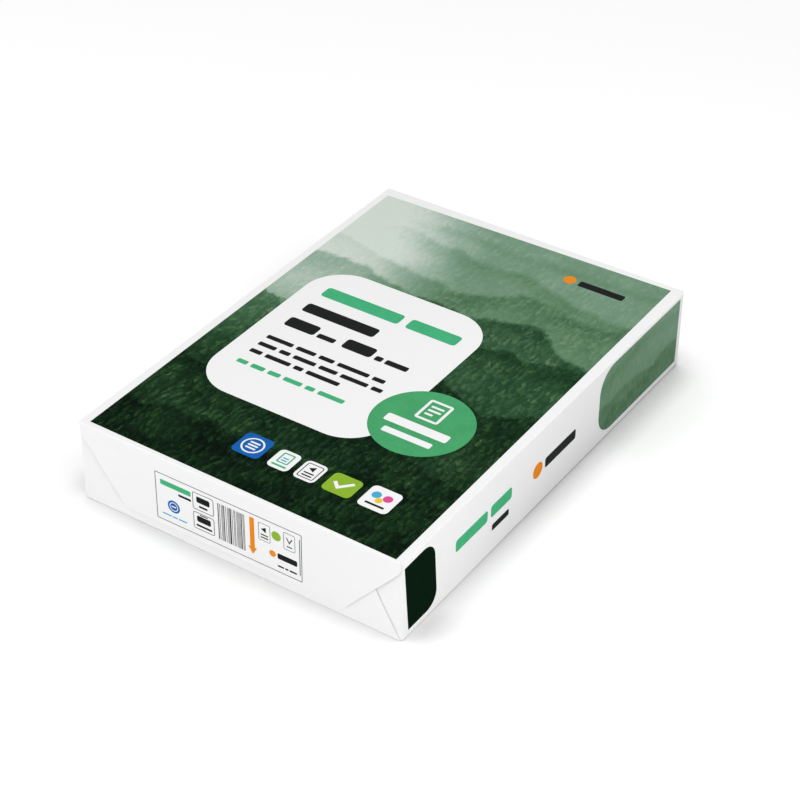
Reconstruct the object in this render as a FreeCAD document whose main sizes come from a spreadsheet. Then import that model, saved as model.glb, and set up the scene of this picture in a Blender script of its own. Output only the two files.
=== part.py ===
import FreeCAD, Part
import math
import os
import re
import Sketcher

# A ream of office paper, sealed in its glued paper wrapper.
# X runs across the short side of the sheets, Y along their long side and Z up through the stack.
# The origin is at the middle of the face that the ream rests on.
# Nothing shows inside the sealed wrapper, so the sheets and the wrapper are one solid, with the
# wrapper's own folds on it: rounded long edges, a lap seam along the underside and, at each end,
# the tucked sides, the lower flap over them and the upper flap glued over everything.

sizes = [
    ("sheet_wide", 210.0, "short side of one sheet"),
    ("sheet_long", 297.0, "long side of one sheet"),
    ("sheet_count", 500, "sheets in the stack"),
    ("sheet_thick", 0.103, "thickness of one sheet"),
    ("wrap_thick", 0.12, "thickness of the wrapper's paper"),
    ("fold_air", 0.05, "air held under each layer of a folded flap"),
    ("flap_layers", 2, "layers in a flap, whose sides are folded back under it"),
    ("tuck_round", 0.8, "outer radius where the sides are tucked round into an end"),
    ("edge_ease", 0.4, "how much larger the long edges' radius is than the tucks'"),
    ("lap_place", 35.0, "free edge of the outer lap, from the middle of the underside"),
    ("foot_gap", 6.8, "height of the upper flap's free edge above the foot of the end"),
    ("upper_inset", 33.5, "how far the upper flap's free edge is drawn in at each side"),
    ("lower_inset", 26.0, "how far the lower flap's free edge is drawn in at each side"),
]

# Sizes that follow from those, as expressions
edge_round = "(tuck_round + edge_ease)"
pack_wide = "(sheet_wide + 2 * wrap_thick)"
side = "(%s / 2)" % pack_wide
pack_high = "(sheet_count * sheet_thick + 3 * wrap_thick)"
flap_reach = "(%s - foot_gap)" % pack_high
fold_end = "(%s - %s)" % (side, edge_round)
upper_side = "(%s - upper_inset)" % fold_end
lower_side = "(%s - lower_inset)" % fold_end

# How far each layer of an end lies from the middle of the ream
tuck_level = "(sheet_long / 2 + wrap_thick)"
lower_level = "(%s + flap_layers * (wrap_thick + fold_air))" % tuck_level
lap_level = "(%s + wrap_thick)" % lower_level
upper_level = "(%s + flap_layers * (wrap_thick + fold_air))" % lap_level
flap_start = "(%s - 2 * tuck_round)" % tuck_level

# A fold is as round outside as the layers in it are thick
lower_fold = "(flap_layers * wrap_thick)"
upper_fold = "((2 * flap_layers + 1) * wrap_thick)"

along_x = FreeCAD.Vector(1, 0, 0)
along_y = FreeCAD.Vector(0, 1, 0)
along_z = FreeCAD.Vector(0, 0, 1)

doc = FreeCAD.newDocument("ream")
sheet = doc.addObject("Spreadsheet::Sheet", "sizes")
for row, (name, value, meaning) in enumerate(sizes, start=1):
    sheet.set("A%d" % row, name)
    sheet.set("B%d" % row, str(value))
    sheet.set("C%d" % row, meaning)
    sheet.setAlias("B%d" % row, name)
doc.recompute()


def bound(text):
    # Puts the sheet's name before each size in an expression
    return re.sub(r"[a-z_]+", lambda word: "sizes." + word.group(0), text)


def origin_plane(body, role):
    return [item for item in body.Origin.OriginFeatures if item.Role == role][0]


def draw_outline(body, name, corners, offset="0"):
    # A closed outline in the ream's cross-section plane, or in one that lies offset towards -Y,
    # with each corner placed from the origin by two expressions, across and up
    sketch = body.newObject("Sketcher::SketchObject", name)
    sketch.AttachmentSupport = [(origin_plane(body, "XZ_Plane"), "")]
    sketch.MapMode = "FlatFace"
    sketch.setExpression(".AttachmentOffset.Base.z", bound(offset))
    count = len(corners)
    spots = []
    for index in range(count):
        turn = 2 * math.pi * index / count
        spots.append(FreeCAD.Vector(math.cos(turn), math.sin(turn), 0))
    for index in range(count):
        following = (index + 1) % count
        sketch.addGeometry(Part.LineSegment(spots[index], spots[following]), False)
    for index in range(count):
        following = (index + 1) % count
        sketch.addConstraint(Sketcher.Constraint("Coincident", index, 2, following, 1))
    for index, (across, up) in enumerate(corners):
        for kind, direction, text in (("DistanceX", "across", across), ("DistanceY", "up", up)):
            number = sketch.addConstraint(Sketcher.Constraint(kind, -1, 1, index, 1, 1.0))
            label = "%s_%d" % (direction, index)
            sketch.renameConstraint(number, label)
            sketch.setExpression("Constraints." + label, bound(text))
    return sketch


def round_edges(body, base, name, radius, chosen):
    # Rounds the edges of the base feature that the chosen test picks out
    doc.recompute()
    names = []
    for index, edge in enumerate(base.Shape.Edges, start=1):
        if chosen(edge):
            names.append("Edge%d" % index)
    fillet = body.newObject("PartDesign::Fillet", name)
    fillet.Base = (base, names)
    fillet.setExpression("Radius", bound(radius))
    doc.recompute()
    return fillet


def runs_along(edge, axis):
    return isinstance(edge.Curve, Part.Line) and abs(edge.Curve.Direction.dot(axis)) > 0.999


def is_side_edge(edge):
    # A long edge, at either side of the ream
    return runs_along(edge, along_y) and abs(edge.CenterOfMass.x) > sheet.sheet_wide / 2


def is_tuck_edge(edge):
    # An upright edge, where a side is tucked round into an end
    return runs_along(edge, along_z) and abs(edge.CenterOfMass.x) > sheet.sheet_wide / 2


def is_on_flap(edge):
    # An edge that runs across an end, out on the folded layers
    level = sheet.sheet_long / 2 + 2 * sheet.wrap_thick
    return runs_along(edge, along_x) and abs(edge.CenterOfMass.y) > level


def is_lower_fold(edge):
    # Where the underside turns up into the lower flap
    return is_on_flap(edge) and edge.CenterOfMass.z < 2 * sheet.wrap_thick


def is_upper_fold(edge):
    # Where the top turns down into the upper flap
    stack_high = sheet.sheet_count * sheet.sheet_thick
    return is_on_flap(edge) and edge.CenterOfMass.z > stack_high


def build_stack(body):
    # The wrapped stack, out to the tucked sides at its ends
    section = draw_outline(body, "stack_section", [
        ("-" + side, "0"),
        (side, "0"),
        (side, pack_high),
        ("-" + side, pack_high),
    ])
    stack = body.newObject("PartDesign::Pad", "wrapped_stack")
    stack.Profile = section
    stack.Midplane = True
    stack.setExpression("Length", bound("2 * " + tuck_level))
    long_edges = round_edges(body, stack, "long_edges", edge_round, is_side_edge)
    return round_edges(body, long_edges, "tucked_sides", "tuck_round", is_tuck_edge)


def cut_lap(body, stack):
    # The outer lap ends part way across the underside, and beyond its free edge
    # the inner lap lies one layer higher
    beyond = "-(%s + wrap_thick)" % side
    outline = draw_outline(body, "lap_outline", [
        ("-lap_place", "wrap_thick"),
        ("-lap_place", "-wrap_thick"),
        (beyond, "-wrap_thick"),
        (beyond, "wrap_thick"),
    ])
    lap = body.newObject("PartDesign::Pocket", "lap_step")
    lap.Profile = outline
    lap.Midplane = True
    lap.setExpression("Length", bound("3 * " + tuck_level))
    doc.recompute()
    if lap.Shape.Volume >= stack.Shape.Volume:
        raise RuntimeError("the step of the lap took nothing off the underside")


def build_flap(body, name, corners, level):
    # One folded layer of the end that faces -Y, from inside the stack out to its level
    flap = body.newObject("PartDesign::Pad", name)
    flap.Profile = draw_outline(body, name + "_outline", corners, flap_start)
    flap.setExpression("Length", bound("%s - %s" % (level, flap_start)))
    return flap


def build_end_flaps(body):
    lower = build_flap(body, "lower_flap", [
        ("-" + fold_end, "wrap_thick"),
        ("-lap_place", "wrap_thick"),
        ("-lap_place", "0"),
        (fold_end, "0"),
        (lower_side, flap_reach),
        ("-" + lower_side, flap_reach),
    ], lower_level)
    lap = build_flap(body, "lap_on_lower_flap", [
        ("-lap_place", "0"),
        (fold_end, "0"),
        (lower_side, flap_reach),
        ("-lap_place", flap_reach),
    ], lap_level)
    upper = build_flap(body, "upper_flap", [
        ("-" + fold_end, pack_high),
        ("-" + upper_side, "foot_gap"),
        (upper_side, "foot_gap"),
        (fold_end, pack_high),
    ], upper_level)
    return [lower, lap, upper]


def mirror_to_other_end(body, flaps):
    mirrored = body.newObject("PartDesign::Mirrored", "other_end")
    mirrored.Originals = flaps
    mirrored.MirrorPlane = (origin_plane(body, "XZ_Plane"), [""])
    body.Tip = mirrored
    return mirrored


def build_wrapped_ream():
    body = doc.addObject("PartDesign::Body", "wrapped_ream")
    body.Label = "wrapped_ream"
    stack = build_stack(body)
    cut_lap(body, stack)
    flaps = build_end_flaps(body)
    both_ends = mirror_to_other_end(body, flaps)
    upper = round_edges(body, both_ends, "upper_folds", upper_fold, is_upper_fold)
    body.Tip = round_edges(body, upper, "lower_folds", lower_fold, is_lower_fold)
    return body


def check_document(bodies):
    for item in doc.Objects:
        if "Invalid" in item.State or "Error" in item.State:
            raise RuntimeError("%s did not build" % item.Name)
    for body in bodies:
        if body.Shape.isNull() or not body.Shape.isValid() or len(body.Shape.Solids) != 1:
            raise RuntimeError("%s is not one sound solid" % body.Label)


bodies = [build_wrapped_ream()]
doc.recompute()
check_document(bodies)
os.makedirs("parts", exist_ok=True)
for body in bodies:
    body.Shape.exportStep("parts/%s.step" % body.Label)
    box = body.Shape.BoundBox
    print("%s: %.2f x %.2f x %.2f mm" % (body.Label, box.XLength, box.YLength, box.ZLength))
    print("volume %.0f mm3, %d faces" % (body.Shape.Volume, len(body.Shape.Faces)))
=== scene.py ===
import math
import random

import bmesh
import bpy
from mathutils import Matrix, Quaternion, Vector, noise


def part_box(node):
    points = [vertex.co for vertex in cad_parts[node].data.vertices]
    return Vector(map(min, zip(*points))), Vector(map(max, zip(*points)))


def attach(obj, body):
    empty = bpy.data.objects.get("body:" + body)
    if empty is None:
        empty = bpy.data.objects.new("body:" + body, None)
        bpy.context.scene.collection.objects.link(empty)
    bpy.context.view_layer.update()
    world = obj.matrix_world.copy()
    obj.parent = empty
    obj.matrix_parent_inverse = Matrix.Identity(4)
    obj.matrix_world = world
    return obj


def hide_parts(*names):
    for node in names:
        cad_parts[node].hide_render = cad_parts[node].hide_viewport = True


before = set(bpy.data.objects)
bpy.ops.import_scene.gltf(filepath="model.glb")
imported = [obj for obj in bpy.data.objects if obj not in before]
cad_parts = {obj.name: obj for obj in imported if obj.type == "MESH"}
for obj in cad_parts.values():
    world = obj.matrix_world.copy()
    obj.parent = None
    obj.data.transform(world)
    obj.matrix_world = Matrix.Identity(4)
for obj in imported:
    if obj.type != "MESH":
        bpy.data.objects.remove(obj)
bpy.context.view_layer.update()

# A ream of office paper in its glued wrapper, lying flat with the labelled end towards -Y.
# Every piece is modelled in millimetres and turned to metres when it is finished.
mm = 0.001
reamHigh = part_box("wrapped_ream")[1]
sideX = reamHigh.x / mm      # half the width
endY = reamHigh.y / mm       # half the length, out to the upper flaps
topZ = reamHigh.z / mm
skin = 0.02                  # the tube lies this far inside, so that folded strips cover it
edgeRound = 1.2              # outer radius of the long edges
foldX = sideX - edgeRound    # where the flaps' slanting edges meet the folds
sharpAngle = 0.6             # radians, past which an edge is shaded as a sharp one


def hexToLinear(text):
    parts = [int(text[i:i + 2], 16) / 255 for i in (1, 3, 5)]
    linear = [p / 12.92 if p <= 0.04045 else ((p + 0.055) / 1.055) ** 2.4 for p in parts]
    return tuple(linear) + (1.0,)


def addNode(material, kind, inputs=None, **settings):
    # One node with its settings, and its inputs as values, or as sockets or nodes to link
    node = material.node_tree.nodes.new("ShaderNode" + kind)
    for key, value in settings.items():
        setattr(node, key, value)
    for key, value in (inputs or {}).items():
        value = value.outputs[0] if isinstance(value, bpy.types.Node) else value
        if isinstance(value, bpy.types.NodeSocket):
            material.node_tree.links.new(value, node.inputs[key])
        else:
            node.inputs[key].default_value = value
    return node


def newMaterial(name):
    material = bpy.data.materials.new(name)
    material.use_nodes = True
    material.node_tree.nodes.clear()
    return material


def inMillimetres(material):
    # Object coordinates, as millimetres
    place = addNode(material, "TexCoord")
    return addNode(material, "VectorMath", {0: place.outputs["Object"], "Scale": 1 / mm},
                   operation="SCALE").outputs["Vector"]


def finishPaper(material, colour, grain, look, under=None):
    # The surface that bare and printed paper share: its fine grain varies the gloss and the relief
    rough = addNode(material, "MapRange",
                    {"Value": grain, "To Min": look["rough"][0], "To Max": look["rough"][1]})
    relief = {"Strength": 1.0, "Distance": look["grainDepth"] * mm, "Height": grain}
    if under is not None:
        relief["Normal"] = under
    fine = addNode(material, "Bump", relief)
    shader = addNode(material, "BsdfPrincipled",
                     {"Base Color": colour, "Roughness": rough, "IOR": 1.5,
                      "Specular IOR Level": look["gloss"], "Normal": fine})
    addNode(material, "OutputMaterial", {"Surface": shader})
    return material


def makeWrapperPaper(name):
    # Machine-finished wrapping paper, white and nearly matt: its fibres form faint clouds about
    # a centimetre across, and it cockles very slightly between the places where it is held
    look = {"white": "#F3F3F3", "cloud": "#F1F2F1", "cloudSize": 9.0, "cloudRange": (0.12, 0.4),
            "grainSize": 0.9, "grainDepth": 0.006, "cockleSize": 42.0, "cockleDepth": 0.05,
            "rough": (0.55, 0.66), "gloss": 0.25}
    material = newMaterial(name)
    place = inMillimetres(material)
    clouds = addNode(material, "TexNoise",
                     {"Vector": place, "Scale": 1 / look["cloudSize"], "Detail": 3.0})
    grain = addNode(material, "TexNoise",
                    {"Vector": place, "Scale": 1 / look["grainSize"], "Detail": 2.0,
                     "Roughness": 0.6})
    both = addNode(material, "Math", {0: clouds, 1: grain}, operation="MULTIPLY")
    low, high = look["cloudRange"]
    shade = addNode(material, "MapRange", {"Value": both, "From Min": low, "From Max": high})
    colour = addNode(material, "Mix",
                     {0: shade, 6: hexToLinear(look["cloud"]), 7: hexToLinear(look["white"])},
                     data_type="RGBA")
    cockle = addNode(material, "TexNoise",
                     {"Vector": place, "Scale": 1 / look["cockleSize"], "Detail": 1.0})
    slow = addNode(material, "Bump",
                   {"Strength": 1.0, "Distance": look["cockleDepth"] * mm, "Height": cockle})
    return finishPaper(material, colour.outputs[2], grain, look, slow)


def makeInk(name, colourText, gloss=0.03):
    # Offset ink soaked into the wrapper: the paper's fibres leave it slightly mottled, and a
    # thin sealing varnish keeps it from rubbing off on the next ream
    look = {"grainSize": 1.1, "grainDepth": 0.006, "patchSize": 7.0, "mottleRange": (0.7, 1.3),
            "spread": 0.07, "rough": (0.5, 0.62), "gloss": gloss}
    full = hexToLinear(colourText)
    material = newMaterial(name)
    place = inMillimetres(material)
    grain, patches = [addNode(material, "TexNoise",
                              {"Vector": place, "Scale": 1 / look[size], "Detail": 2.0})
                      for size in ("grainSize", "patchSize")]
    both = addNode(material, "Math", {0: grain, 1: patches}, operation="ADD")
    low, high = look["mottleRange"]
    shade = addNode(material, "MapRange", {"Value": both, "From Min": low, "From Max": high})
    dark, pale = [tuple(min(1.0, c * much) for c in full[:3]) + (1.0,)
                  for much in (1 - look["spread"], 1 + look["spread"])]
    colour = addNode(material, "Mix", {0: shade, 6: dark, 7: pale}, data_type="RGBA")
    return finishPaper(material, colour.outputs[2], grain, look)


# The printed pictures. Crests and places are in millimetres in the ream's own axes, across and
# along the page. A hill is its crest, rise, length, raggedness, softness, tone, lean to the left,
# mist at the foot and slope.
hillPictures = {
    "top": {
        "across": "X", "along": "Y", "halfWide": 100.0, "sky": 0.71, "skyLean": 0.03,
        "mist": (-100.0, 72.0, 0.0), "mistReach": (100.0, 135.0, 1e6), "mistTone": 0.36,
        "tree": (3.8, 6.4, 3.8), "stand": 22.0, "contrast": 0.195,
        "hills": [
            (130, 6, 60, 1.2, 4.0, 0.68, 0.03, 0.03, 0.05),
            (108, 11, 82, 1.8, 3.6, 0.64, 0.03, 0.04, -0.12),
            (84, 13, 74, 2.6, 3.0, 0.58, 0.02, 0.04, 0.10),
            (56, 15, 90, 3.4, 2.4, 0.445, 0.02, 0.05, -0.10),
            (28, 16, 84, 4.4, 1.8, 0.37, 0.03, 0.05, 0.14),
            (-4, 17, 96, 5.2, 1.5, 0.26, 0.03, 0.04, -0.10),
            (-38, 16, 84, 6.0, 1.3, 0.25, 0.03, 0.03, 0.12),
            (-72, 15, 92, 6.6, 1.2, 0.19, 0.02, 0.03, -0.12),
            (-108, 12, 80, 7.0, 1.1, 0.13, -0.01, 0.02, 0.08),
        ],
    },
    "side": {
        "across": "Y", "along": "Z", "halfWide": 150.0, "sky": 0.63, "skyLean": -0.04,
        "mist": (105.0, 150.0, 56.0), "mistReach": (1e6, 60.0, 60.0), "mistTone": 0.04,
        "tree": (3.8, 3.8, 6.0), "stand": 22.0, "contrast": 0.14,
        "hills": [
            (42, 5, 40, 1.2, 2.4, 0.60, -0.05, 0.03, 0.03),
            (28, 6, 60, 1.8, 2.0, 0.57, -0.05, 0.03, -0.05),
            (13, 6, 48, 2.2, 1.6, 0.55, -0.05, 0.03, 0.04),
        ],
    },
}
hillInks = [(0.0, "#040E06"), (0.10, "#0B1E10"), (0.22, "#16301B"), (0.36, "#26472D"),
            (0.50, "#406447"), (0.62, "#638668"), (0.70, "#76977F"), (0.82, "#99B2A1"),
            (0.92, "#BECDC1"), (1.0, "#D1DCD3")]
# What the pictures share. The first number of a sum is its start, and the others are the weights
# of what is added: to a cone how far aside, how far up and its twigs, to its light how far aside,
# how far up and its own shade, and to the whole its twigs and its stand.
woods = {"ragged": 3.6, "slowBend": 9.0, "fineBend": 3.4, "twigs": 1.7,
         "cone": (0.1, -0.85, -0.45, 1.7), "coneEdge": (0.35, 1.25),
         "light": (0.35, -0.5, 0.7, 1.3), "whole": (-0.75, 0.7, 2.1),
         "clearRange": (0.22, 0.66), "leastClear": 0.22, "bankCore": 0.25,
         "warmInk": "#FFF2CF", "warmRange": (0.02, 0.12), "warmth": 0.8,
         "grainSize": 0.9, "grainDepth": 0.005, "rough": (0.56, 0.66), "gloss": 0.015}


def addHills(material, look, across, along, raggedHeight):
    # The tone of the sky and of each row of hills in front of it, from far to near
    leftness = addNode(material, "MapRange",
                       {"Value": across, "From Min": look["halfWide"],
                        "From Max": -look["halfWide"], "To Min": -1.0, "To Max": 1.0})
    tone = addNode(material, "Math", {0: leftness, 1: look["skyLean"], 2: look["sky"]},
                   operation="MULTIPLY_ADD")
    for index, hill in enumerate(look["hills"]):
        crest, rise, length, raggedness, softness, base, lean, mist, slope = hill
        ownPart = 7.3 * index + 2.1      # each hill reads its own part of the noise
        shifted = addNode(material, "Math", {0: across, 1: 1 / length, 2: ownPart},
                          operation="MULTIPLY_ADD")
        outline = addNode(material, "TexNoise",
                          {"W": shifted, "Scale": 1.0, "Detail": 3.0, "Roughness": 0.42},
                          noise_dimensions="1D")
        height = crest - 2.0 * rise
        for source, weight in ((outline, 4.0 * rise), (raggedHeight, 2.0 * raggedness),
                               (across, slope)):
            height = addNode(material, "Math", {0: source, 1: weight, 2: height},
                             operation="MULTIPLY_ADD")
        below = addNode(material, "Math", {0: height, 1: along}, operation="SUBTRACT")
        inside = addNode(material, "MapRange",
                         {"Value": below, "From Min": -softness, "From Max": softness},
                         interpolation_type="SMOOTHSTEP")
        foot = addNode(material, "MapRange",
                       {"Value": below, "From Min": 0.0, "From Max": 2.2 * rise,
                        "To Min": -0.35 * mist, "To Max": mist},
                       interpolation_type="SMOOTHSTEP")
        own = addNode(material, "Math", {0: leftness, 1: lean, 2: base}, operation="MULTIPLY_ADD")
        own = addNode(material, "Math", {0: own, 1: foot}, operation="ADD")
        tone = addNode(material, "Mix", {0: inside, 2: tone, 3: own}, data_type="FLOAT")
    return tone


def addMistBank(material, look, place, tone):
    # Thick mist towards one side
    away = addNode(material, "VectorMath", {0: place, 1: look["mist"]}, operation="SUBTRACT")
    away = addNode(material, "VectorMath", {0: away, 1: look["mistReach"]}, operation="DIVIDE")
    away = addNode(material, "VectorMath", {0: away}, operation="LENGTH")
    bank = addNode(material, "MapRange",
                   {"Value": away.outputs["Value"], "From Min": woods["bankCore"], "From Max": 1.0,
                    "To Min": look["mistTone"], "To Max": 0.0},
                   interpolation_type="SMOOTHSTEP")
    return addNode(material, "Math", {0: tone, 1: bank}, operation="ADD")


def addConifers(material, look, place, ragged):
    # Conifers: each stands in its own cell as a cone, pale at its lit side and dark in the gaps
    # beside its tip. Some are paler than others, twigs fray them, and stands vary slowly.
    stands = addNode(material, "TexNoise",
                     {"Vector": place, "Scale": 1 / look["stand"], "Detail": 3.0, "Roughness": 0.5})
    bent = place
    for source, much in ((stands, woods["slowBend"]), (ragged, woods["fineBend"])):
        bent = addNode(material, "VectorMath",
                       {0: source.outputs["Color"], 1: (much, much, much), 2: bent},
                       operation="MULTIPLY_ADD")
    treePlace = addNode(material, "VectorMath", {0: bent, 1: look["tree"]}, operation="DIVIDE")
    trees = addNode(material, "TexVoronoi", {"Vector": treePlace, "Scale": 1.0})
    within = addNode(material, "VectorMath", {0: treePlace, 1: trees.outputs["Position"]},
                     operation="SUBTRACT")
    own = addNode(material, "SeparateXYZ", {0: within})
    aside, aloft = own.outputs[look["across"]], own.outputs[look["along"]]
    each = addNode(material, "SeparateXYZ", {0: trees.outputs["Color"]}).outputs["X"]
    twigs = addNode(material, "TexNoise",
                    {"Vector": treePlace, "Scale": woods["twigs"], "Detail": 5.0,
                     "Roughness": 0.74})
    off = addNode(material, "Math", {0: aside}, operation="ABSOLUTE")
    cone, *weights = woods["cone"]
    for source, weight in zip((off, aloft, twigs), weights):
        cone = addNode(material, "Math", {0: source, 1: weight, 2: cone}, operation="MULTIPLY_ADD")
    low, high = woods["coneEdge"]
    cone = addNode(material, "MapRange", {"Value": cone, "From Min": low, "From Max": high},
                   interpolation_type="SMOOTHSTEP")
    light, *weights = woods["light"]
    for source, weight in zip((aside, aloft, each), weights):
        light = addNode(material, "Math", {0: source, 1: weight, 2: light},
                        operation="MULTIPLY_ADD")
    slow = addNode(material, "Math", {0: stands, 1: 0.5}, operation="SUBTRACT")
    texture, *weights = woods["whole"]
    for source, weight in zip((cone, twigs, slow), [light] + weights):
        texture = addNode(material, "Math", {0: source, 1: weight, 2: texture},
                          operation="MULTIPLY_ADD")
    return addNode(material, "Math", {0: texture, 1: look["contrast"]}, operation="MULTIPLY")


def makeHillPrint(name, look):
    # Four-colour offset picture of wooded hills in mist, on matt wrapping paper: rows of hills,
    # each with a ragged crest and paler towards its foot, and conifers that fade in the mist
    material = newMaterial(name)
    place = inMillimetres(material)
    axes = addNode(material, "SeparateXYZ", {0: place})
    ragged = addNode(material, "TexNoise",
                     {"Vector": place, "Scale": 1 / woods["ragged"], "Detail": 3.0,
                      "Roughness": 0.62})
    raggedHeight = addNode(material, "Math", {0: ragged, 1: 0.5}, operation="SUBTRACT")
    tone = addHills(material, look, axes.outputs[look["across"]], axes.outputs[look["along"]],
                    raggedHeight)
    tone = addMistBank(material, look, place, tone)
    texture = addConifers(material, look, place, ragged)
    low, high = woods["clearRange"]
    clear = addNode(material, "MapRange",
                    {"Value": tone, "From Min": low, "From Max": high, "To Min": 1.0,
                     "To Max": woods["leastClear"]})
    tone = addNode(material, "Math", {0: texture, 1: clear, 2: tone}, operation="MULTIPLY_ADD")
    ramp = addNode(material, "ValToRGB", {0: tone})
    stops = ramp.color_ramp.elements
    while len(stops) < len(hillInks):
        stops.new(0.5)
    for stop, (position, ink) in zip(stops, hillInks):
        stop.position = position
        stop.color = hexToLinear(ink)
    # the lit side of some trees is yellower than the rest
    low, high = woods["warmRange"]
    warm = addNode(material, "MapRange",
                   {"Value": texture, "From Min": low, "From Max": high,
                    "To Max": woods["warmth"]})
    warm = addNode(material, "Math", {0: warm, 1: clear}, operation="MULTIPLY")
    colour = addNode(material, "Mix",
                     {0: warm, 6: ramp, 7: hexToLinear(woods["warmInk"])},
                     data_type="RGBA", blend_type="MULTIPLY").outputs[2]
    grain = addNode(material, "TexNoise",
                    {"Vector": place, "Scale": 1 / woods["grainSize"], "Detail": 2.0})
    return finishPaper(material, colour, grain, woods)


wrapperPaper = makeWrapperPaper("white wrapper paper")
inks = {
    "hills": makeHillPrint("hill picture print", hillPictures["top"]),
    "sideHills": makeHillPrint("side hill picture print", hillPictures["side"]),
    "green": makeInk("green ink", "#45B07C"),
    "leaf": makeInk("leaf green ink", "#48A26A"),
    "black": makeInk("black ink", "#1B1D1C"),
    "grey": makeInk("grey line ink", "#4A4D4C"),
    "blue": makeInk("blue ink", "#1560AE"),
    "sky": makeInk("cyan ink", "#47AAD0"),
    "lime": makeInk("lime ink", "#8CB332"),
    "magenta": makeInk("magenta ink", "#DA4C94"),
    "yellow": makeInk("yellow ink", "#EBC53A"),
    "orange": makeInk("orange ink", "#E98A1E"),
    "forest": makeInk("dark green ink", "#0C1E12", 0.0),
    "paper": wrapperPaper,       # white places are bare paper
    "white": wrapperPaper,
}
print("materials made")


def finishPiece(name, bm, material):
    for face in bm.faces:
        face.smooth = True
    for edge in bm.edges:
        edge.smooth = edge.calc_face_angle(0.0) < sharpAngle
    bmesh.ops.scale(bm, vec=(mm, mm, mm), verts=bm.verts)
    mesh = bpy.data.meshes.new(name)
    bm.to_mesh(mesh)
    bm.free()
    mesh.materials.append(material)
    piece = bpy.data.objects.new(name, mesh)
    bpy.context.scene.collection.objects.link(piece)
    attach(piece, "root")
    return piece


def flatSheet(width, height):
    # A flat rectangle round the origin
    bm = bmesh.new()
    bmesh.ops.create_grid(bm, x_segments=1, y_segments=1, size=0.5)
    bmesh.ops.scale(bm, vec=(width, height, 1), verts=bm.verts)
    return bm


def cutPlane(bm, point, normal, clear=False):
    # A loop through the whole mesh in a plane, beyond which the rest may be cleared away
    bmesh.ops.bisect_plane(bm, geom=bm.verts[:] + bm.edges[:] + bm.faces[:], dist=1e-5,
                           plane_co=point, plane_no=normal, clear_outer=clear)


def cutAcross(bm, axis, places):
    # Loops through the whole mesh, at right angles to an axis
    direction = Vector([1.0 if i == axis else 0.0 for i in range(3)])
    for place in places:
        cutPlane(bm, direction * place, direction)


def spread(low, high, near, count):
    # Places for loops: close together next to both ends, and even between them
    between = high - low - 2 * near[-1]
    inner = [low + near[-1] + between * i / (count + 1) for i in range(1, count + 1)]
    return sorted([low + n for n in near] + [high - n for n in near] + inner)


def wave(point, size, seed):
    # Smooth noise between -1 and 1, of which each seed gives another part
    return noise.noise(Vector((point[0] / size, point[1] / size, point[2] / size + seed)))


def held(value):
    # Kept between 0 and 1
    return min(1.0, max(0.0, value))


def bell(distance, width):
    # 1 in the middle, falling to a third at that width
    return math.exp(-(distance / width) ** 2)


def sideOf(x):
    return "left" if x < 0 else "right"


# The upper flap's slanting folds are drawn in a little less at the left and the right of each
# end, by so much at its fold and at its free edge. The layers of the end give way beside them.
# A lean turns a level distance into one square to the slanting fold. Foot and head are the
# lengths over which the form comes in there, past their gaps.
flapReach = 45.06
upperSlant = {"inset": 33.5, "eased": {-1: {"left": (4.6, 4.6), "right": (5.5, 0.0)},
                                       1: {"left": (2.4, 1.2), "right": (1.5, 2.6)}}}
lowerSlant = {"inset": 26.0, "lean": 0.86, "width": 2.6, "footGap": 1.0, "foot": 6.0, "head": 9.0,
              "groove": {-1: {"left": 0.0, "right": 0.26}, 1: {"left": 0.3, "right": 0.15}}}
endRelief = {"lean": 0.8, "foot": 7.0, "headGap": 3.0, "head": 9.0, "underFlap": 0.05,
             "hollow": {-1: {"left": 1.25, "right": 0.45}, 1: {"left": 0.5, "right": 0.65}},
             "hollowWidth": 8.0,
             "crease": {-1: {"left": 0.95, "right": 0.0}, 1: {"left": 0.0, "right": 0.3}},
             "creasePlace": 1.0, "creaseWidth": 1.7, "creaseTop": 42.0, "creaseFade": 14.0}


def slantAt(x, depth, end):
    # How far the upper flap is drawn in at that depth below its fold
    share = depth / flapReach
    atFold, atEdge = upperSlant["eased"][end][sideOf(x)]
    return max(0.0, (upperSlant["inset"] - atEdge) * share - atFold * (1 - share))


def reliefAt(x, z, end):
    # How deep a layer of the end is sunk beside the upper flap's slanting fold and under it
    spec, side = endRelief, sideOf(x)
    beyond = spec["lean"] * (abs(x) - foldX + slantAt(x, topZ - z, end))
    window = held(z / spec["foot"]) * held((topZ - z - spec["headGap"]) / spec["head"])
    hollow = spec["hollow"][end][side] * bell(max(0.0, beyond), spec["hollowWidth"])
    crease = spec["crease"][end][side] * bell(beyond - spec["creasePlace"], spec["creaseWidth"])
    return window * (hollow + crease * held((spec["creaseTop"] - z) / spec["creaseFade"]))


def grooveAt(x, z, end):
    # The tucked side dips along the lower flap's slanting fold
    spec = lowerSlant
    beyond = spec["lean"] * (abs(x) - foldX + spec["inset"] * z / flapReach)
    window = held((z - spec["footGap"]) / spec["foot"]) * held((topZ - z) / spec["head"])
    return spec["groove"][end][sideOf(x)] * window * bell(beyond, spec["width"])


# The tube: the wrapper round the stack, with the tucked sides at its ends and the outer lap's
# free edge along the underside. The loops are places from its edges, close where it gives way.
tubeShape = {"half": 148.62, "segments": 6, "lapEdge": -35.0, "lapThick": 0.12, "lapStep": 0.06,
             "bow": 0.10, "bowGap": 1.3, "bowFade": 6.0, "bowWave": 46.0,
             "bowSeed": {"left": 8.0, "right": 3.0},
             "loopsAcross": ([1.6 + 1.4 * i for i in range(25)], 9),
             "loopsAlong": ([1.7, 3.5, 6.0, 9.0, 12.0], 18), "loopsUp": ([1.6, 3.2], 26)}


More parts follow.
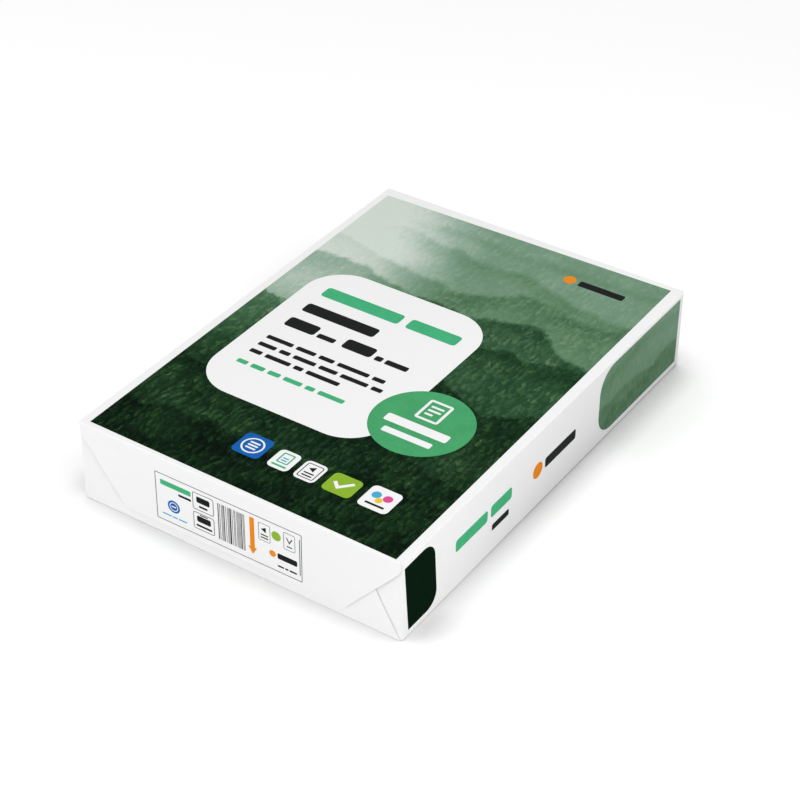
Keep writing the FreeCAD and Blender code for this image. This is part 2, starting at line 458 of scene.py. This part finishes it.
def makeTube():
    spec = tubeShape
    low = Vector((-sideX + skin, -spec["half"], skin))
    high = Vector((sideX - skin, spec["half"], topZ - skin))
    bm = bmesh.new()
    bmesh.ops.create_cube(bm, size=1.0)
    bmesh.ops.scale(bm, vec=high - low, verts=bm.verts)
    bmesh.ops.translate(bm, vec=(low + high) / 2, verts=bm.verts)
    bmesh.ops.bevel(bm, geom=bm.edges[:], offset=edgeRound, offset_type="OFFSET",
                    segments=spec["segments"], profile=0.5, affect="EDGES", material=-1)
    lapLoops = [spec["lapEdge"] - spec["lapStep"], spec["lapEdge"]]
    cutAcross(bm, 0, spread(low.x, high.x, *spec["loopsAcross"]) + lapLoops)
    cutAcross(bm, 1, spread(low.y, high.y, *spec["loopsAlong"]))
    cutAcross(bm, 2, spread(low.z, high.z, *spec["loopsUp"]))
    for vert in bm.verts:
        x, y, z = vert.co
        if abs(x) > sideX - 0.1:
            # the long sides give a little between the folds, but never stand out
            flat = held((min(z - low.z, high.z - z) - spec["bowGap"]) / spec["bowFade"])
            inward = 0.5 + 0.5 * wave((0, y, z), spec["bowWave"], spec["bowSeed"][sideOf(x)])
            vert.co.x -= math.copysign(spec["bow"] * flat * inward, x)
        atEnd = held(1 - (spec["half"] - abs(y)) / edgeRound)
        end = -1 if y < 0 else 1
        sunk = reliefAt(x, z, end) + grooveAt(x, z, end)
        vert.co.y -= math.copysign(atEnd * sunk, y)
        if x < spec["lapEdge"] - spec["lapStep"] / 2 and z < low.z + 0.01:
            vert.co.z += spec["lapThick"]
    return finishPiece("wrapper_tube", bm, wrapperPaper)


tube = makeTube()
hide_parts("wrapped_ream")
print("tube made")

# The folded ends: each flap is one sheet that lies on the tube, turns over its edge and lies on
# the end, drawn in at both sides by its slanting folds. Lengths go down the flap from its fold.
flapShapes = {
    "upper": {"level": 149.42, "turn": 0.9, "fold": topZ, "down": -1, "reach": flapReach,
              "inset": upperSlant["inset"], "left": -foldX, "thick": 0.30, "lift": 0.36,
              "sag": 0.16, "hold": 2.3},
    "lower": {"level": 148.96, "turn": 0.6, "fold": 0.12, "down": 1, "reach": flapReach,
              "inset": lowerSlant["inset"], "left": -foldX, "thick": 0.24, "lift": 0.0,
              "sag": 0.10, "hold": 2.3},
    "lap": {"level": 149.08, "turn": 0.6, "fold": 0.0, "down": 1, "reach": 44.6,
            "inset": lowerSlant["inset"], "left": tubeShape["lapEdge"],
            "thick": tubeShape["lapThick"], "lift": 0.0, "sag": 0.10, "hold": 2.3},
}
# Where the loops of a flap lie, and the lengths over which its sag, its lift and the press at
# its sides come in
flapLoops = {"acrossFold": 6, "down": 12, "belowFold": (1.2, 3.0), "besideSlant": (0.0, 0.5, 1.4),
             "aboveEdge": (4.2, 3.2, 2.4, 1.6, 0.9, 0.35), "sideways": 52}
flapGive = {"sagBeside": 9.0, "sagDown": 8.0, "sagWave": 27.0, "liftReach": 5.0, "liftHeld": 2.7,
            "liftBeside": 10.0, "liftIn": 14.0, "liftWave": 30.0, "press": 0.46,
            "pressStart": 1.5, "pressDown": 12.0, "pressIn": 9.0, "underIn": 12.0, "underUp": 1.5}
labelField = {"left": -53.0, "right": 45.5, "low": 8.5, "high": 44.0}


def cutFlap(bm, shape, arc, length):
    # Loops round the fold, down to the free edge and across, and the two slanting folds
    straight = shape["reach"] - shape["turn"]
    hold, turned = shape["hold"], shape["hold"] + arc
    count = flapLoops["acrossFold"]
    cutAcross(bm, 1, [hold * 0.6, hold] + [hold + arc * i / count for i in range(1, count + 1)])
    count = flapLoops["down"]
    cutAcross(bm, 1, [turned + s for s in flapLoops["belowFold"]]
              + [turned + straight * i / count for i in range(1, count)]
              + [length - s for s in flapLoops["aboveEdge"]])
    count = flapLoops["sideways"]
    cutAcross(bm, 0, [-foldX + 2 * foldX * i / count for i in range(1, count)])
    # the slanting folds, from where the fold ends to the free edge
    start = Vector((foldX, hold + arc * 0.5, 0))
    finish = Vector((foldX - shape["inset"], length, 0))
    slope = finish - start
    for side in (-1, 1):
        if side < 0 and shape["left"] > -foldX:
            continue
        for inward in flapLoops["besideSlant"]:
            cutPlane(bm, (side * (start.x - inward), start.y, 0), (side * slope.y, -slope.x, 0),
                     clear=inward == 0.0)


def layFlap(bm, shape, end, arc):
    # Turns the flat sheet over the fold, and gives it its sag, lift and sunk places
    turn, hold, give = shape["turn"], shape["hold"], flapGive
    for vert in bm.verts:
        x, s = vert.co.x, vert.co.y
        out, depth = shape["level"] - turn, 0.0
        if s < hold:
            out -= hold - s
        elif s < hold + arc:
            angle = (s - hold) / turn
            out += turn * math.sin(angle)
            depth = turn * (1 - math.cos(angle))
        else:
            out += turn
            depth = turn + s - hold - arc
        z = shape["fold"] + shape["down"] * depth
        # the sheet sinks a little away from its folds, and its free edge stands off slightly
        drawnIn = shape["inset"] * (depth / shape["reach"])
        beside = max(labelField["left"] - x, x - labelField["right"], 0.0)
        besideLabel = max(beside, labelField["low"] - z, z - labelField["high"])
        loose = min(1.0, besideLabel / give["sagBeside"]) * min(1.0, depth / give["sagDown"])
        sagWave = 0.5 + 0.5 * wave((x, 0, z), give["sagWave"], 2.0 + 5.0 * end)
        out -= shape["sag"] * loose * sagWave
        overLabel = max(0.0, 1 - beside / give["liftBeside"])
        fromEdge = (shape["reach"] - depth) / (give["liftReach"] - give["liftHeld"] * overLabel)
        edge = max(0.0, 1 - fromEdge)
        side = held((foldX - drawnIn - abs(x)) / give["liftIn"])
        liftWave = 0.75 + 0.5 * wave((x, 0, 0), give["liftWave"], 11.0 + end)
        out += shape["lift"] * edge * edge * side * liftWave
        if shape["down"] < 0:
            # near its fold the upper flap's sides are drawn flat on to the tucked sides
            fromSlant = foldX - drawnIn - abs(x)
            near = max(0.0, 1 - depth / give["pressDown"])
            near *= max(0.0, 1 - fromSlant / give["pressIn"])
            out -= give["press"] * near * min(1.0, depth / give["pressStart"])
            inner = abs(labelField["left"]) + 2.0
            share = held((abs(x) - inner) / (foldX - drawnIn - inner))
            x += math.copysign((drawnIn - slantAt(x, depth, end)) * share, x)
        else:
            # a lower layer gives way beside and under the upper flap
            under = held((foldX - upperSlant["inset"] - abs(x)) / give["underIn"])
            upFoot = held((z - lowerSlant["footGap"]) / give["underUp"])
            out -= reliefAt(x, z, end) + endRelief["underFlap"] * under * upFoot
        vert.co = Vector((x, -out, z))


def makeFlap(name, shape, end):
    arc = shape["turn"] * math.pi / 2
    length = shape["hold"] + arc + (shape["reach"] - shape["turn"])
    bm = flatSheet(foldX - shape["left"], length)
    bmesh.ops.translate(bm, vec=((foldX + shape["left"]) / 2, length / 2, 0), verts=bm.verts)
    cutFlap(bm, shape, arc, length)
    layFlap(bm, shape, end, arc)
    bmesh.ops.recalc_face_normals(bm, faces=bm.faces)
    bm.normal_update()
    if sum(face.normal.y * face.calc_area() for face in bm.faces) > 0:
        bmesh.ops.reverse_faces(bm, faces=bm.faces)
    bmesh.ops.solidify(bm, geom=bm.faces[:], thickness=shape["thick"])
    if end > 0:
        # the other end's flap is the mirror image
        bmesh.ops.mirror(bm, geom=bm.verts[:] + bm.edges[:] + bm.faces[:], axis="Y", merge_dist=0.0)
        bmesh.ops.delete(bm, geom=[v for v in bm.verts if v.co.y < 0], context="VERTS")
    bmesh.ops.recalc_face_normals(bm, faces=bm.faces)
    return finishPiece(name, bm, wrapperPaper)


for endName, end in (("front", -1), ("back", 1)):
    for flapName, shape in flapShapes.items():
        makeFlap("%s_flap_%s" % (flapName, endName), shape, end)
print("folded ends made")


def pageOn(corner, across, up):
    # A page's own place: x across it, y up it and z out of it, from its lower left corner
    turned = Matrix((across, up, across.cross(up))).transposed()
    return Matrix.Translation(corner) @ turned.to_4x4()


alongX, alongY, alongZ = Vector((1, 0, 0)), Vector((0, 1, 0)), Vector((0, 0, 1))
pages = {
    "top": pageOn(Vector((-sideX, -endY, topZ - skin)), alongX, alongY),
    "end": pageOn(Vector((-sideX, -endY, 0)), alongX, alongZ),
    "right": pageOn(Vector((sideX - skin, -endY, 0)), alongY, alongZ),
    "left": pageOn(Vector((-sideX + skin, endY, 0)), -alongY, alongZ),
}
# A skin of ink starts this far under its page, and each layer lies a hair above the last
inkLevels = {"under": 0.03, "first": 0.03, "step": 0.02}
circleCorners = {"discs": 64, "rings": 64, "wedges": 3}


def drawShape(kind, spec):
    # One flat shape on its page. A plate or frame starts from its lower left corner, a slanted
    # plate is four corners from there round by the top, and the others start from their middle.
    stroke = 0.0
    place = Matrix.Identity(4)
    if kind == "slanted":
        bm = flatSheet(1, 1)
        order = {(-1, -1): 0, (-1, 1): 1, (1, 1): 2, (1, -1): 3}
        for vert in bm.verts:
            side = (int(math.copysign(1, vert.co.x)), int(math.copysign(1, vert.co.y)))
            vert.co = Vector(spec[order[side]] + (0,))
        if len(spec) > 4:
            # the right corners may be rounded
            middle = sum(vert.co.x for vert in bm.verts) / 4
            bmesh.ops.bevel(bm, geom=[v for v in bm.verts if v.co.x > middle], offset=spec[4],
                            offset_type="OFFSET", segments=8, profile=0.5, affect="VERTICES",
                            material=-1)
    elif kind in ("plates", "frames"):
        left, bottom, width, height, corner = spec[:5]
        bm = flatSheet(width, height)
        rounded = bm.verts[:]
        if kind == "plates" and len(spec) > 5:
            # only the corners at one side are rounded, -1 for the left and 1 for the right
            rounded = [v for v in bm.verts if v.co.x * spec[5] > 0]
        if corner:
            # with more segments for a larger corner
            bmesh.ops.bevel(bm, geom=rounded, offset=corner, offset_type="OFFSET",
                            segments=max(3, int(3 + corner * 0.6)), profile=0.5,
                            affect="VERTICES", material=-1)
        place = Matrix.Translation((left + width / 2, bottom + height / 2, 0))
        stroke = spec[5] if kind == "frames" else 0.0
    else:
        x, y, radius = spec[:3]
        bm = bmesh.new()
        bmesh.ops.create_circle(bm, cap_ends=True, segments=circleCorners[kind], radius=radius)
        turned = math.radians(spec[3]) if kind == "wedges" else 0.0
        place = Matrix.Translation((x, y, 0)) @ Matrix.Rotation(turned, 4, "Z")
        stroke = spec[3] if kind == "rings" else 0.0
    if stroke:
        middle = bm.faces[:]
        bmesh.ops.inset_region(bm, faces=middle, thickness=stroke, use_boundary=True,
                               use_even_offset=True)
        bmesh.ops.delete(bm, geom=middle, context="FACES")
    bmesh.ops.transform(bm, matrix=place, verts=bm.verts)
    return bm


def printShapes(name, page, layer, ink, shapes):
    # A thin skin of ink for each shape, with later layers a hair higher
    whole = bmesh.new()
    rise = inkLevels["first"] + inkLevels["step"] * layer
    for kind, specs in shapes.items():
        for spec in specs:
            bm = drawShape(kind, spec)
            bm.normal_update()
            if sum(face.normal.z for face in bm.faces) < 0:
                bmesh.ops.reverse_faces(bm, faces=bm.faces)
            bmesh.ops.solidify(bm, geom=bm.faces[:], thickness=rise + inkLevels["under"])
            bmesh.ops.translate(bm, vec=(0, 0, rise), verts=bm.verts)
            part = bpy.data.meshes.new("part")
            bm.to_mesh(part)
            bm.free()
            whole.from_mesh(part)
            bpy.data.meshes.remove(part)
    bmesh.ops.transform(whole, matrix=pages[page], verts=whole.verts)
    return finishPiece(name, whole, inks[ink])


def bentLine(start, corner, finish, width):
    # A line with one bend, as two slanted plates that meet in a mitre
    ends = [Vector(start), Vector(corner), Vector(finish)]
    first, second = (ends[1] - ends[0]).normalized(), (ends[2] - ends[1]).normalized()
    before, after = [Vector((-way.y, way.x)) * width / 2 for way in (first, second)]
    mitre = (before + after) / (1 + before.dot(after) * 4 / width ** 2)
    low, high = ends[1] - mitre, ends[1] + mitre
    ends[0] -= first * width / 2
    ends[2] += second * width / 2
    return [tuple(tuple(point) for point in plate) for plate in (
        (ends[0] - before, ends[0] + before, high, low),
        (low, high, ends[2] + after, ends[2] - after))]


def wordLine(left, bottom, height, widths, gap=None):
    # A line of plain bars, as long as words, with corners and gaps that go with their height
    gap = height * 0.75 if gap is None else gap
    bars = []
    for width in widths:
        bars.append((left, bottom, width, height, height * 0.22))
        left += width + gap
    return bars


def movedTo(x, y, shapes):
    return [(x + shape[0], y + shape[1]) + shape[2:] for shape in shapes]


# The top: the hill picture inside its white margin, with a white field over it, and a plain
# disc whose sheet and bars are placed from its middle
topPrint = {
    "picture": ((6.1, 3.8), (5.3, 290.6), (203.1, 294.5), (205.4, 1.7)),
    "field": (23, 66, 118, 138, 26),
    "heading": wordLine(36, 174, 10.0, [54, 34], 5.0),
    "title": wordLine(36, 155, 9.0, [50]),
    "sizes": wordLine(36, 137.5, 9.4, [21], 2.0) + wordLine(59, 137.5, 4.2, [12])
             + wordLine(76, 137.5, 9.4, [20]) + wordLine(98.5, 137.5, 4.4, [5, 15], 2.0),
    "lines": wordLine(36, 121, 3.5, [18, 13, 10, 21, 8])
             + wordLine(36, 113, 3.5, [12, 7, 15, 12, 18, 7])
             + wordLine(36, 105, 3.5, [8, 17, 6, 22]),
    "lastLine": wordLine(36, 93, 3.6, [7, 9, 8, 12, 6, 17]),
    "disc": (154, 103, 29.5),
    "discSheet": [(-7.5, 3.0, 15.0, 18.5, 1.6, 1.7)],
    "discBars": [(-4.0, 15.2, 8.0, 1.6, 0.3), (-4.0, 11.6, 8.0, 1.6, 0.3),
                 (-4.0, 8.0, 5.0, 1.6, 0.3), (-20.0, -8.2, 40.0, 6.6, 1.3),
                 (-15.5, -17.2, 31.0, 4.6, 1.0)],
}


def makeTopPrint():
    spec = topPrint
    printShapes("print_hills", "top", 0, "hills", {"slanted": [spec["picture"]]})
    printShapes("print_field", "top", 1, "white", {"plates": [spec["field"]]})
    printShapes("print_top_green", "top", 2, "green",
                {"plates": spec["heading"] + spec["lastLine"]})
    printShapes("print_top_black", "top", 2, "black",
                {"plates": spec["title"] + spec["sizes"] + spec["lines"]})
    x, y = spec["disc"][:2]
    printShapes("print_disc", "top", 3, "leaf", {"discs": [spec["disc"]]})
    printShapes("print_disc_white", "top", 4, "white", {
        "frames": movedTo(x, y, spec["discSheet"]), "plates": movedTo(x, y, spec["discBars"])})


makeTopPrint()

# The row of small tiles along the near edge of the top: colour, left edge, width and height of
# each, then its sign. The signs are a ring with a stack in it, a sheet under a line, an arrow,
# a tick, and three dots. Their shapes are placed from the lower left corner of their tile.
tileRow = {
    "bottom": 27.0, "corner": 3.0,
    "tiles": {"stack": ("blue", 82.0, 18.0, 18.0), "sheet": ("paper", 105.5, 13.5, 16.0),
              "arrow": ("paper", 122.5, 13.5, 16.0), "tick": ("lime", 140.5, 18.0, 16.0),
              "dots": ("paper", 163.0, 18.5, 18.5)},
    "tickLine": ((4.6, 8.2), (7.8, 5.2), (13.4, 11.2)), "tickWidth": 2.0,
    "signs": {
        "white": {"rings": {"stack": [(9.0, 9.0, 6.6, 1.0)]},
                  "plates": {"stack": [(5.8, y, 6.4, 1.2, 0.3) for y in (6.0, 8.4, 10.8)]}},
        "black": {"frames": {"arrow": [(1.6, 1.8, 10.3, 12.4, 1.2, 0.55)]},
                  "plates": {"arrow": [(3.6, 3.6, 6.4, 1.0, 0.2), (3.6, 5.8, 6.4, 1.0, 0.2)],
                             "dots": [(3.4, 3.2, 11.6, 1.5, 0.3)]},
                  "wedges": {"arrow": [(6.8, 10.2, 2.5, 90.0)]}},
        "green": {"frames": {"sheet": [(3.0, 5.2, 7.5, 8.8, 0.8, 0.9)]},
                  "plates": {"sheet": [(2.2, 2.2, 9.2, 1.4, 0.3)]}},
        "sky": {"discs": {"dots": [(5.6, 11.6, 2.7)]},
                "plates": {"sheet": [(4.9, 7.2, 3.7, 1.0, 0.2), (4.9, 9.2, 3.7, 1.0, 0.2)]}},
        "magenta": {"discs": {"dots": [(12.6, 11.6, 2.7)]}},
        "yellow": {"discs": {"dots": [(9.1, 8.1, 2.1)]}},
    },
}


def makeTileRow():
    low, tiles = tileRow["bottom"], tileRow["tiles"]
    for colour in ("blue", "paper", "lime"):
        plates = [(x, low, wide, tall, tileRow["corner"]) for kind, x, wide, tall in tiles.values()
                  if kind == colour]
        printShapes("print_tiles_%s" % colour, "top", 1, colour, {"plates": plates})
    for ink, kinds in tileRow["signs"].items():
        shapes = {kind: [shape for tile, own in placed.items()
                         for shape in movedTo(tiles[tile][1], low, own)]
                  for kind, placed in kinds.items()}
        if ink == "white":
            corners = movedTo(tiles["tick"][1], low, tileRow["tickLine"])
            shapes["slanted"] = bentLine(*corners, tileRow["tickWidth"])
        printShapes("print_tile_%s" % ink, "top", 2, ink, shapes)


makeTileRow()

# The small mark at the far right of the top, and the long sides. Each side has a dark block at
# the near end and a pale green one at the far end; only the right one has bars between them.
sidePrint = {
    "cornerMark": (148.2, 271.0, 3.9), "cornerBar": (154.6, 268.0, 30.0, 5.6, 1.1),
    "rightDark": ((6.2, 4.2), (2.2, 47.4), (29.5, 48.0), (33.0, 4.2), 10.0),
    "leftDark": ((267.0, 4.2), (264.0, 47.8), (295.5, 47.4), (293.0, 4.2)),
    "rightPale": (200.0, 4.7, 93.5, 44.5, 15.0, -1), "leftPale": (5.3, 4.7, 93.5, 44.5, 15.0, 1),
    "rightHeading": wordLine(50, 24.6, 7.8, [31, 21], 3.4),
    "rightTitle": wordLine(86, 14.8, 4.2, [17]),
    "rightMark": (132.6, 25.6, 5.0), "rightBar": (140.4, 22.2, 33.0, 6.6, 1.3),
}


def makeSidePrint():
    spec = sidePrint
    printShapes("print_corner_orange", "top", 1, "orange", {"discs": [spec["cornerMark"]]})
    printShapes("print_corner_black", "top", 1, "black", {"plates": [spec["cornerBar"]]})
    for side in ("right", "left"):
        printShapes("print_%s_dark" % side, side, 0, "forest", {"slanted": [spec[side + "Dark"]]})
        printShapes("print_%s_pale" % side, side, 0, "sideHills", {"plates": [spec[side + "Pale"]]})
    printShapes("print_right_green", "right", 0, "green", {"plates": spec["rightHeading"]})
    printShapes("print_right_black", "right", 0, "black",
                {"plates": spec["rightTitle"] + [spec["rightBar"]]})
    printShapes("print_right_orange", "right", 0, "orange", {"discs": [spec["rightMark"]]})


makeSidePrint()

# The data label on the end: a thin outline round plain bars, boxes, stripes and small marks
labelPrint = {
    "outline": (52.5, 10.0, 96.0, 31.6, 0.6, 0.44),
    "heading": wordLine(56.0, 34.2, 3.4, [20.5]), "title": wordLine(68.0, 30.9, 1.5, [8.5]),
    "disc": (64.4, 22.0, 4.1), "discRing": (64.4, 22.0, 2.9, 0.5),
    "discBar": (62.9, 21.6, 3.0, 0.8, 0.1),
    "fineLine": wordLine(56.5, 14.4, 0.9, [6, 3.4, 5.6], 0.7),
    "boxes": [(77.6, 27.5, 14.0, 11.4, 1.3, 0.42), (77.6, 14.4, 14.0, 11.4, 1.3, 0.42)],
    "boxBars": wordLine(80.2, 32.6, 4.0, [8.8]) + wordLine(81.8, 29.6, 1.3, [5.6])
               + wordLine(80.0, 19.6, 4.0, [9.2]) + wordLine(79.4, 16.4, 1.3, [10.4])
               + wordLine(82.0, 24.2, 0.7, [5.2]),
    "stripes": (94.3, 14.2, 18.4, 24.2), "stripeWidths": (0.34, 0.34, 0.62, 0.9),
    "stripeGaps": (0.36, 0.36, 0.6, 0.84), "stripeSeed": 5,
    "arrow": (116.6, 14.2, 39.0), "arrowWide": 3.0, "arrowNeck": 4.9, "arrowTip": (3.3, 3.2),
    "signBox": (120.8, 26.6, 7.6, 11.6, 0.9, 0.3), "signWedge": (124.6, 34.2, 2.1, 90.0),
    "signBars": [(122.2, 28.4, 4.8, 0.8, 0.1), (122.2, 30.2, 4.8, 0.8, 0.1)],
    "limeDisc": (132.2, 33.6, 3.0),
    "greyBox": (136.9, 27.6, 7.4, 11.2, 0.9, 0.3), "greyBar": (139.0, 29.6, 3.4, 0.8, 0.1),
    "greyLine": ((139.0, 35.4), (140.6, 32.6), (142.2, 35.4), 0.7),
    "orangeDisc": (129.6, 20.8, 2.1), "darkBar": wordLine(132.8, 19.0, 3.7, [12.6]),
    "footLine": wordLine(132.8, 13.6, 1.1, [4.0, 2.0, 4.6], 0.8),
    "sideLine": (146.9, 14.0, 0.5, 24.0, 0),
}


def makeLabelPrint():
    spec = labelPrint
    # stripes of uneven width and spacing
    generator = random.Random(spec["stripeSeed"])
    place, bottom, width, height = spec["stripes"]
    stripes, last = [], place + width - max(spec["stripeWidths"])
    while place < last:
        stripe = generator.choice(spec["stripeWidths"])
        stripes.append((place, bottom, stripe, height, 0))
        place += stripe + generator.choice(spec["stripeGaps"])
    printShapes("label_black", "end", 0, "black", {
        "plates": spec["title"] + spec["boxBars"] + stripes + spec["darkBar"] + spec["footLine"]
                  + spec["signBars"],
        "wedges": [spec["signWedge"]],
    })
    printShapes("label_grey", "end", 0, "grey", {
        "frames": [spec["outline"], spec["signBox"], spec["greyBox"]] + spec["boxes"],
        "plates": [spec["sideLine"], spec["greyBar"]],
        "slanted": bentLine(*spec["greyLine"]),
    })
    printShapes("label_green", "end", 0, "green", {"plates": spec["heading"]})
    printShapes("label_blue", "end", 0, "blue", {"discs": [spec["disc"]]})
    printShapes("label_sky", "end", 0, "sky", {"plates": spec["fineLine"]})
    printShapes("label_white", "end", 1, "white",
                {"rings": [spec["discRing"]], "plates": [spec["discBar"]]})
    x, low, high = spec["arrow"]
    wide, neck = spec["arrowWide"], spec["arrowNeck"]
    tipUp, tipRadius = spec["arrowTip"]
    printShapes("label_orange", "end", 0, "orange", {
        "plates": [(x - wide / 2, low + neck, wide, high - low - neck, 0)],
        "wedges": [(x, low + tipUp, tipRadius, 180.0)],
        "discs": [spec["orangeDisc"]],
    })
    printShapes("label_lime", "end", 0, "lime", {"discs": [spec["limeDisc"]]})


makeLabelPrint()
print("print made")


def addSeen(owner):
    # 1 for a ray of the camera, also by way of a mirror or glass, and 0 for light on the object
    path = addNode(owner, "LightPath")
    seen = path.outputs["Is Camera Ray"]
    for ray in ("Is Glossy Ray", "Is Transmission Ray"):
        seen = addNode(owner, "Math", {0: seen, 1: path.outputs[ray]}, operation="MAXIMUM")
    return seen


def makeFloorPaint():
    # White studio floor: matt, with a glow that only the camera and mirrors see. Beside the ream,
    # away from the key light, the floor's colour for the light it sends back is painted darker, a
    # painted shade in place of its shadow there, so it gives less light back to the ream. Places
    # are in millimetres.
    look = {"colour": "#E7E7E7", "paintedShadeColour": "#727272", "seenColour": "#FBFBFB", "glow": 0.16,
            "insideReach": 20.0, "besideReach": 85.0, "frontY": -165.0, "dimY": 40.0,
            "contactReach": 20.0, "contactNear": 0.48, "contactFar": 0.88, "contactY": -20.0}
    material = newMaterial("white studio floor")
    seen = addSeen(material)
    glow = addNode(material, "Math", {0: seen, 1: look["glow"]}, operation="MULTIPLY")
    axes = addNode(material, "SeparateXYZ", {0: inMillimetres(material)})
    off = addNode(material, "Math", {0: axes.outputs["X"]}, operation="ABSOLUTE")
    within = addNode(material, "MapRange",
                     {"Value": off, "From Min": sideX - look["insideReach"], "From Max": sideX})
    beside = addNode(material, "MapRange",
                     {"Value": off, "From Min": sideX, "From Max": sideX + look["besideReach"],
                      "To Min": 1.0, "To Max": 0.0}, interpolation_type="SMOOTHSTEP")
    beside = addNode(material, "Math", {0: beside, 1: within}, operation="MULTIPLY")
    farther = addNode(material, "MapRange",
                      {"Value": axes.outputs["Y"], "From Min": look["frontY"],
                       "From Max": look["dimY"]}, interpolation_type="SMOOTHSTEP")
    dim = addNode(material, "Math", {0: beside, 1: farther}, operation="MULTIPLY")
    # painted shade: beside the ream, more towards the back, the colour that light meets turns to
    # the darker shaded colour
    given = addNode(material, "Mix",
                    {0: dim, 6: hexToLinear(look["colour"]),
                     7: hexToLinear(look["paintedShadeColour"])}, data_type="RGBA")
    # the contact shadow that the camera sees is a little deeper close round the foot, and
    # deeper beside the ream than in front of it
    openness = addNode(material, "AmbientOcclusion",
                       {"Distance": look["contactReach"] * mm}, samples=16)
    closed = addNode(material, "Math", {0: 1.0, 1: openness.outputs["AO"]}, operation="SUBTRACT")
    deep = addNode(material, "MapRange",
                   {"Value": axes.outputs["Y"], "From Min": look["frontY"],
                    "From Max": look["contactY"], "To Min": -look["contactNear"],
                    "To Max": -look["contactFar"]})
    shade = addNode(material, "Math", {0: closed, 1: deep, 2: 1.0}, operation="MULTIPLY_ADD")
    shaded = addNode(material, "Mix",
                     {0: shade, 6: (0.0, 0.0, 0.0, 1.0), 7: hexToLinear(look["seenColour"])},
                     data_type="RGBA")
    paint = addNode(material, "Mix", {0: seen, 6: given.outputs[2], 7: shaded.outputs[2]},
                    data_type="RGBA")
    matt = addNode(material, "BsdfDiffuse", {"Color": paint.outputs[2]})
    glow = addNode(material, "Math", {0: glow, 1: shade}, operation="MULTIPLY")
    light = addNode(material, "Emission", {"Color": (1, 1, 1, 1), "Strength": glow})
    both = addNode(material, "AddShader", {0: matt, 1: light})
    addNode(material, "OutputMaterial", {"Surface": both})
    return material


# The studio: the floor in metres, the light all round and what the camera sees behind
studio = {"floorSize": 9.0, "floorBelow": 0.00005, "ambient": 0.75, "backdrop": 1.0}


def makeFloor():
    bm = flatSheet(studio["floorSize"], studio["floorSize"])
    bmesh.ops.translate(bm, vec=(0, 0, -studio["floorBelow"]), verts=bm.verts)
    mesh = bpy.data.meshes.new("floor")
    bm.to_mesh(mesh)
    bm.free()
    mesh.materials.append(makeFloorPaint())
    floor = bpy.data.objects.new("floor", mesh)
    bpy.context.scene.collection.objects.link(floor)


def makeWorld():
    world = bpy.data.worlds.new("studio")
    bpy.context.scene.world = world
    world.use_nodes = True
    world.node_tree.nodes.clear()
    ambient, backdrop = [addNode(world, "Background",
                                 {"Color": (1, 1, 1, 1), "Strength": studio[name]})
                         for name in ("ambient", "backdrop")]
    both = addNode(world, "MixShader", {0: addSeen(world), 1: ambient, 2: backdrop})
    addNode(world, "OutputWorld", {"Surface": both})


# Soft boxes: place and aim in millimetres, size in metres
softBoxes = {
    "key": {"place": (-900, -900, 1300), "aim": (0, 0, 20), "size": 1.0, "watts": 2.2},
    "front": {"place": (-250, -1300, 1000), "aim": (0, 0, 20), "size": 1.0, "watts": 0.57},
    "left": {"place": (-450, -600, 330), "aim": (-95, -150, 25), "size": 0.4, "watts": 0.95},
    "right": {"place": (480, -380, 150), "aim": (105, -100, 25), "size": 0.3, "watts": 0.46},
    "over": {"place": (380, 60, 520), "aim": (100, 0, 30), "size": 0.4, "watts": 0.6},
}


def makeLights():
    for name, spec in softBoxes.items():
        light = bpy.data.lights.new(name, "AREA")
        light.shape = "DISK"
        light.size = spec["size"]
        light.energy = spec["watts"]
        box = bpy.data.objects.new(name, light)
        place = Vector(spec["place"]) * mm
        box.location = place
        box.rotation_mode = "QUATERNION"
        box.rotation_quaternion = (Vector(spec["aim"]) * mm - place).to_track_quat("-Z", "Y")
        box.visible_camera = False
        bpy.context.scene.collection.objects.link(box)


# A long lens from the near right, above
cameraShape = {"azimuth": 33.46, "elevation": 36.11, "roll": 0.58, "distance": 1267.0,
               "target": (-11.9, 24.0, 0.0), "lens": 97.3, "sensor": 36.0, "clipStart": 0.05}


def makeCamera():
    spec = cameraShape
    azimuth, elevation = math.radians(spec["azimuth"]), math.radians(spec["elevation"])
    level = math.cos(elevation)
    back = Vector((math.sin(azimuth) * level, -math.cos(azimuth) * level, math.sin(elevation)))
    camera = bpy.data.cameras.new("camera")
    camera.lens = spec["lens"]
    camera.sensor_width = spec["sensor"]
    camera.clip_start = spec["clipStart"]
    view = bpy.data.objects.new("camera", camera)
    view.location = (Vector(spec["target"]) + back * spec["distance"]) * mm
    view.rotation_mode = "QUATERNION"
    view.rotation_quaternion = ((-back).to_track_quat("-Z", "Y")
                                @ Quaternion((0, 0, 1), math.radians(spec["roll"])))
    bpy.context.scene.collection.objects.link(view)
    bpy.context.scene.camera = view


makeFloor()
makeWorld()
makeLights()
makeCamera()
bpy.context.scene.view_settings.view_transform = "Standard"
print("floor, light and camera made")
